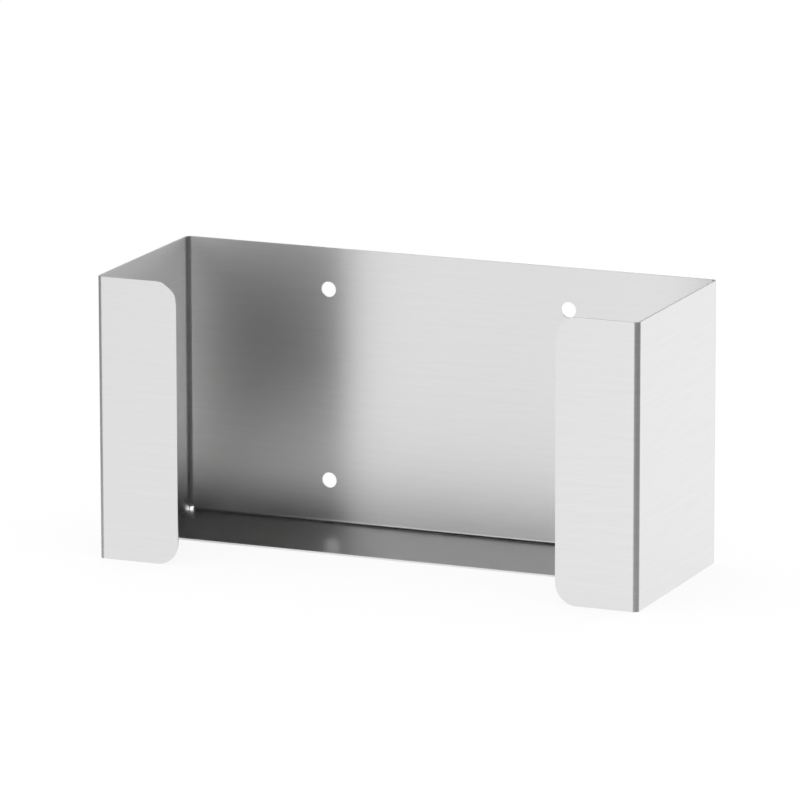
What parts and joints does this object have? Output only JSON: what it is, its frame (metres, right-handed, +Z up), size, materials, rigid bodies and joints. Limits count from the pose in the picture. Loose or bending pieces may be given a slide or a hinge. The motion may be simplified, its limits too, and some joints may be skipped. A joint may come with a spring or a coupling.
{
  "type": "glove dispenser",
  "caption": "Open-topped wall dispenser for a carton of disposable gloves, folded from one brushed stainless sheet, with a wide front window.",
  "frame": {"origin": "centre of the base, on the plane that the bottom edges stand on", "axes": "+X to the dispenser's right as seen from the front, +Y to the wall behind it, +Z up"},
  "size_m": [0.254, 0.096, 0.127],
  "materials": {
    "brushed_stainless": "satin, brushed along the width"
  },
  "bodies": {
    "root": {"dispenser_body": "brushed_stainless"}
  },
  "joints": []
}
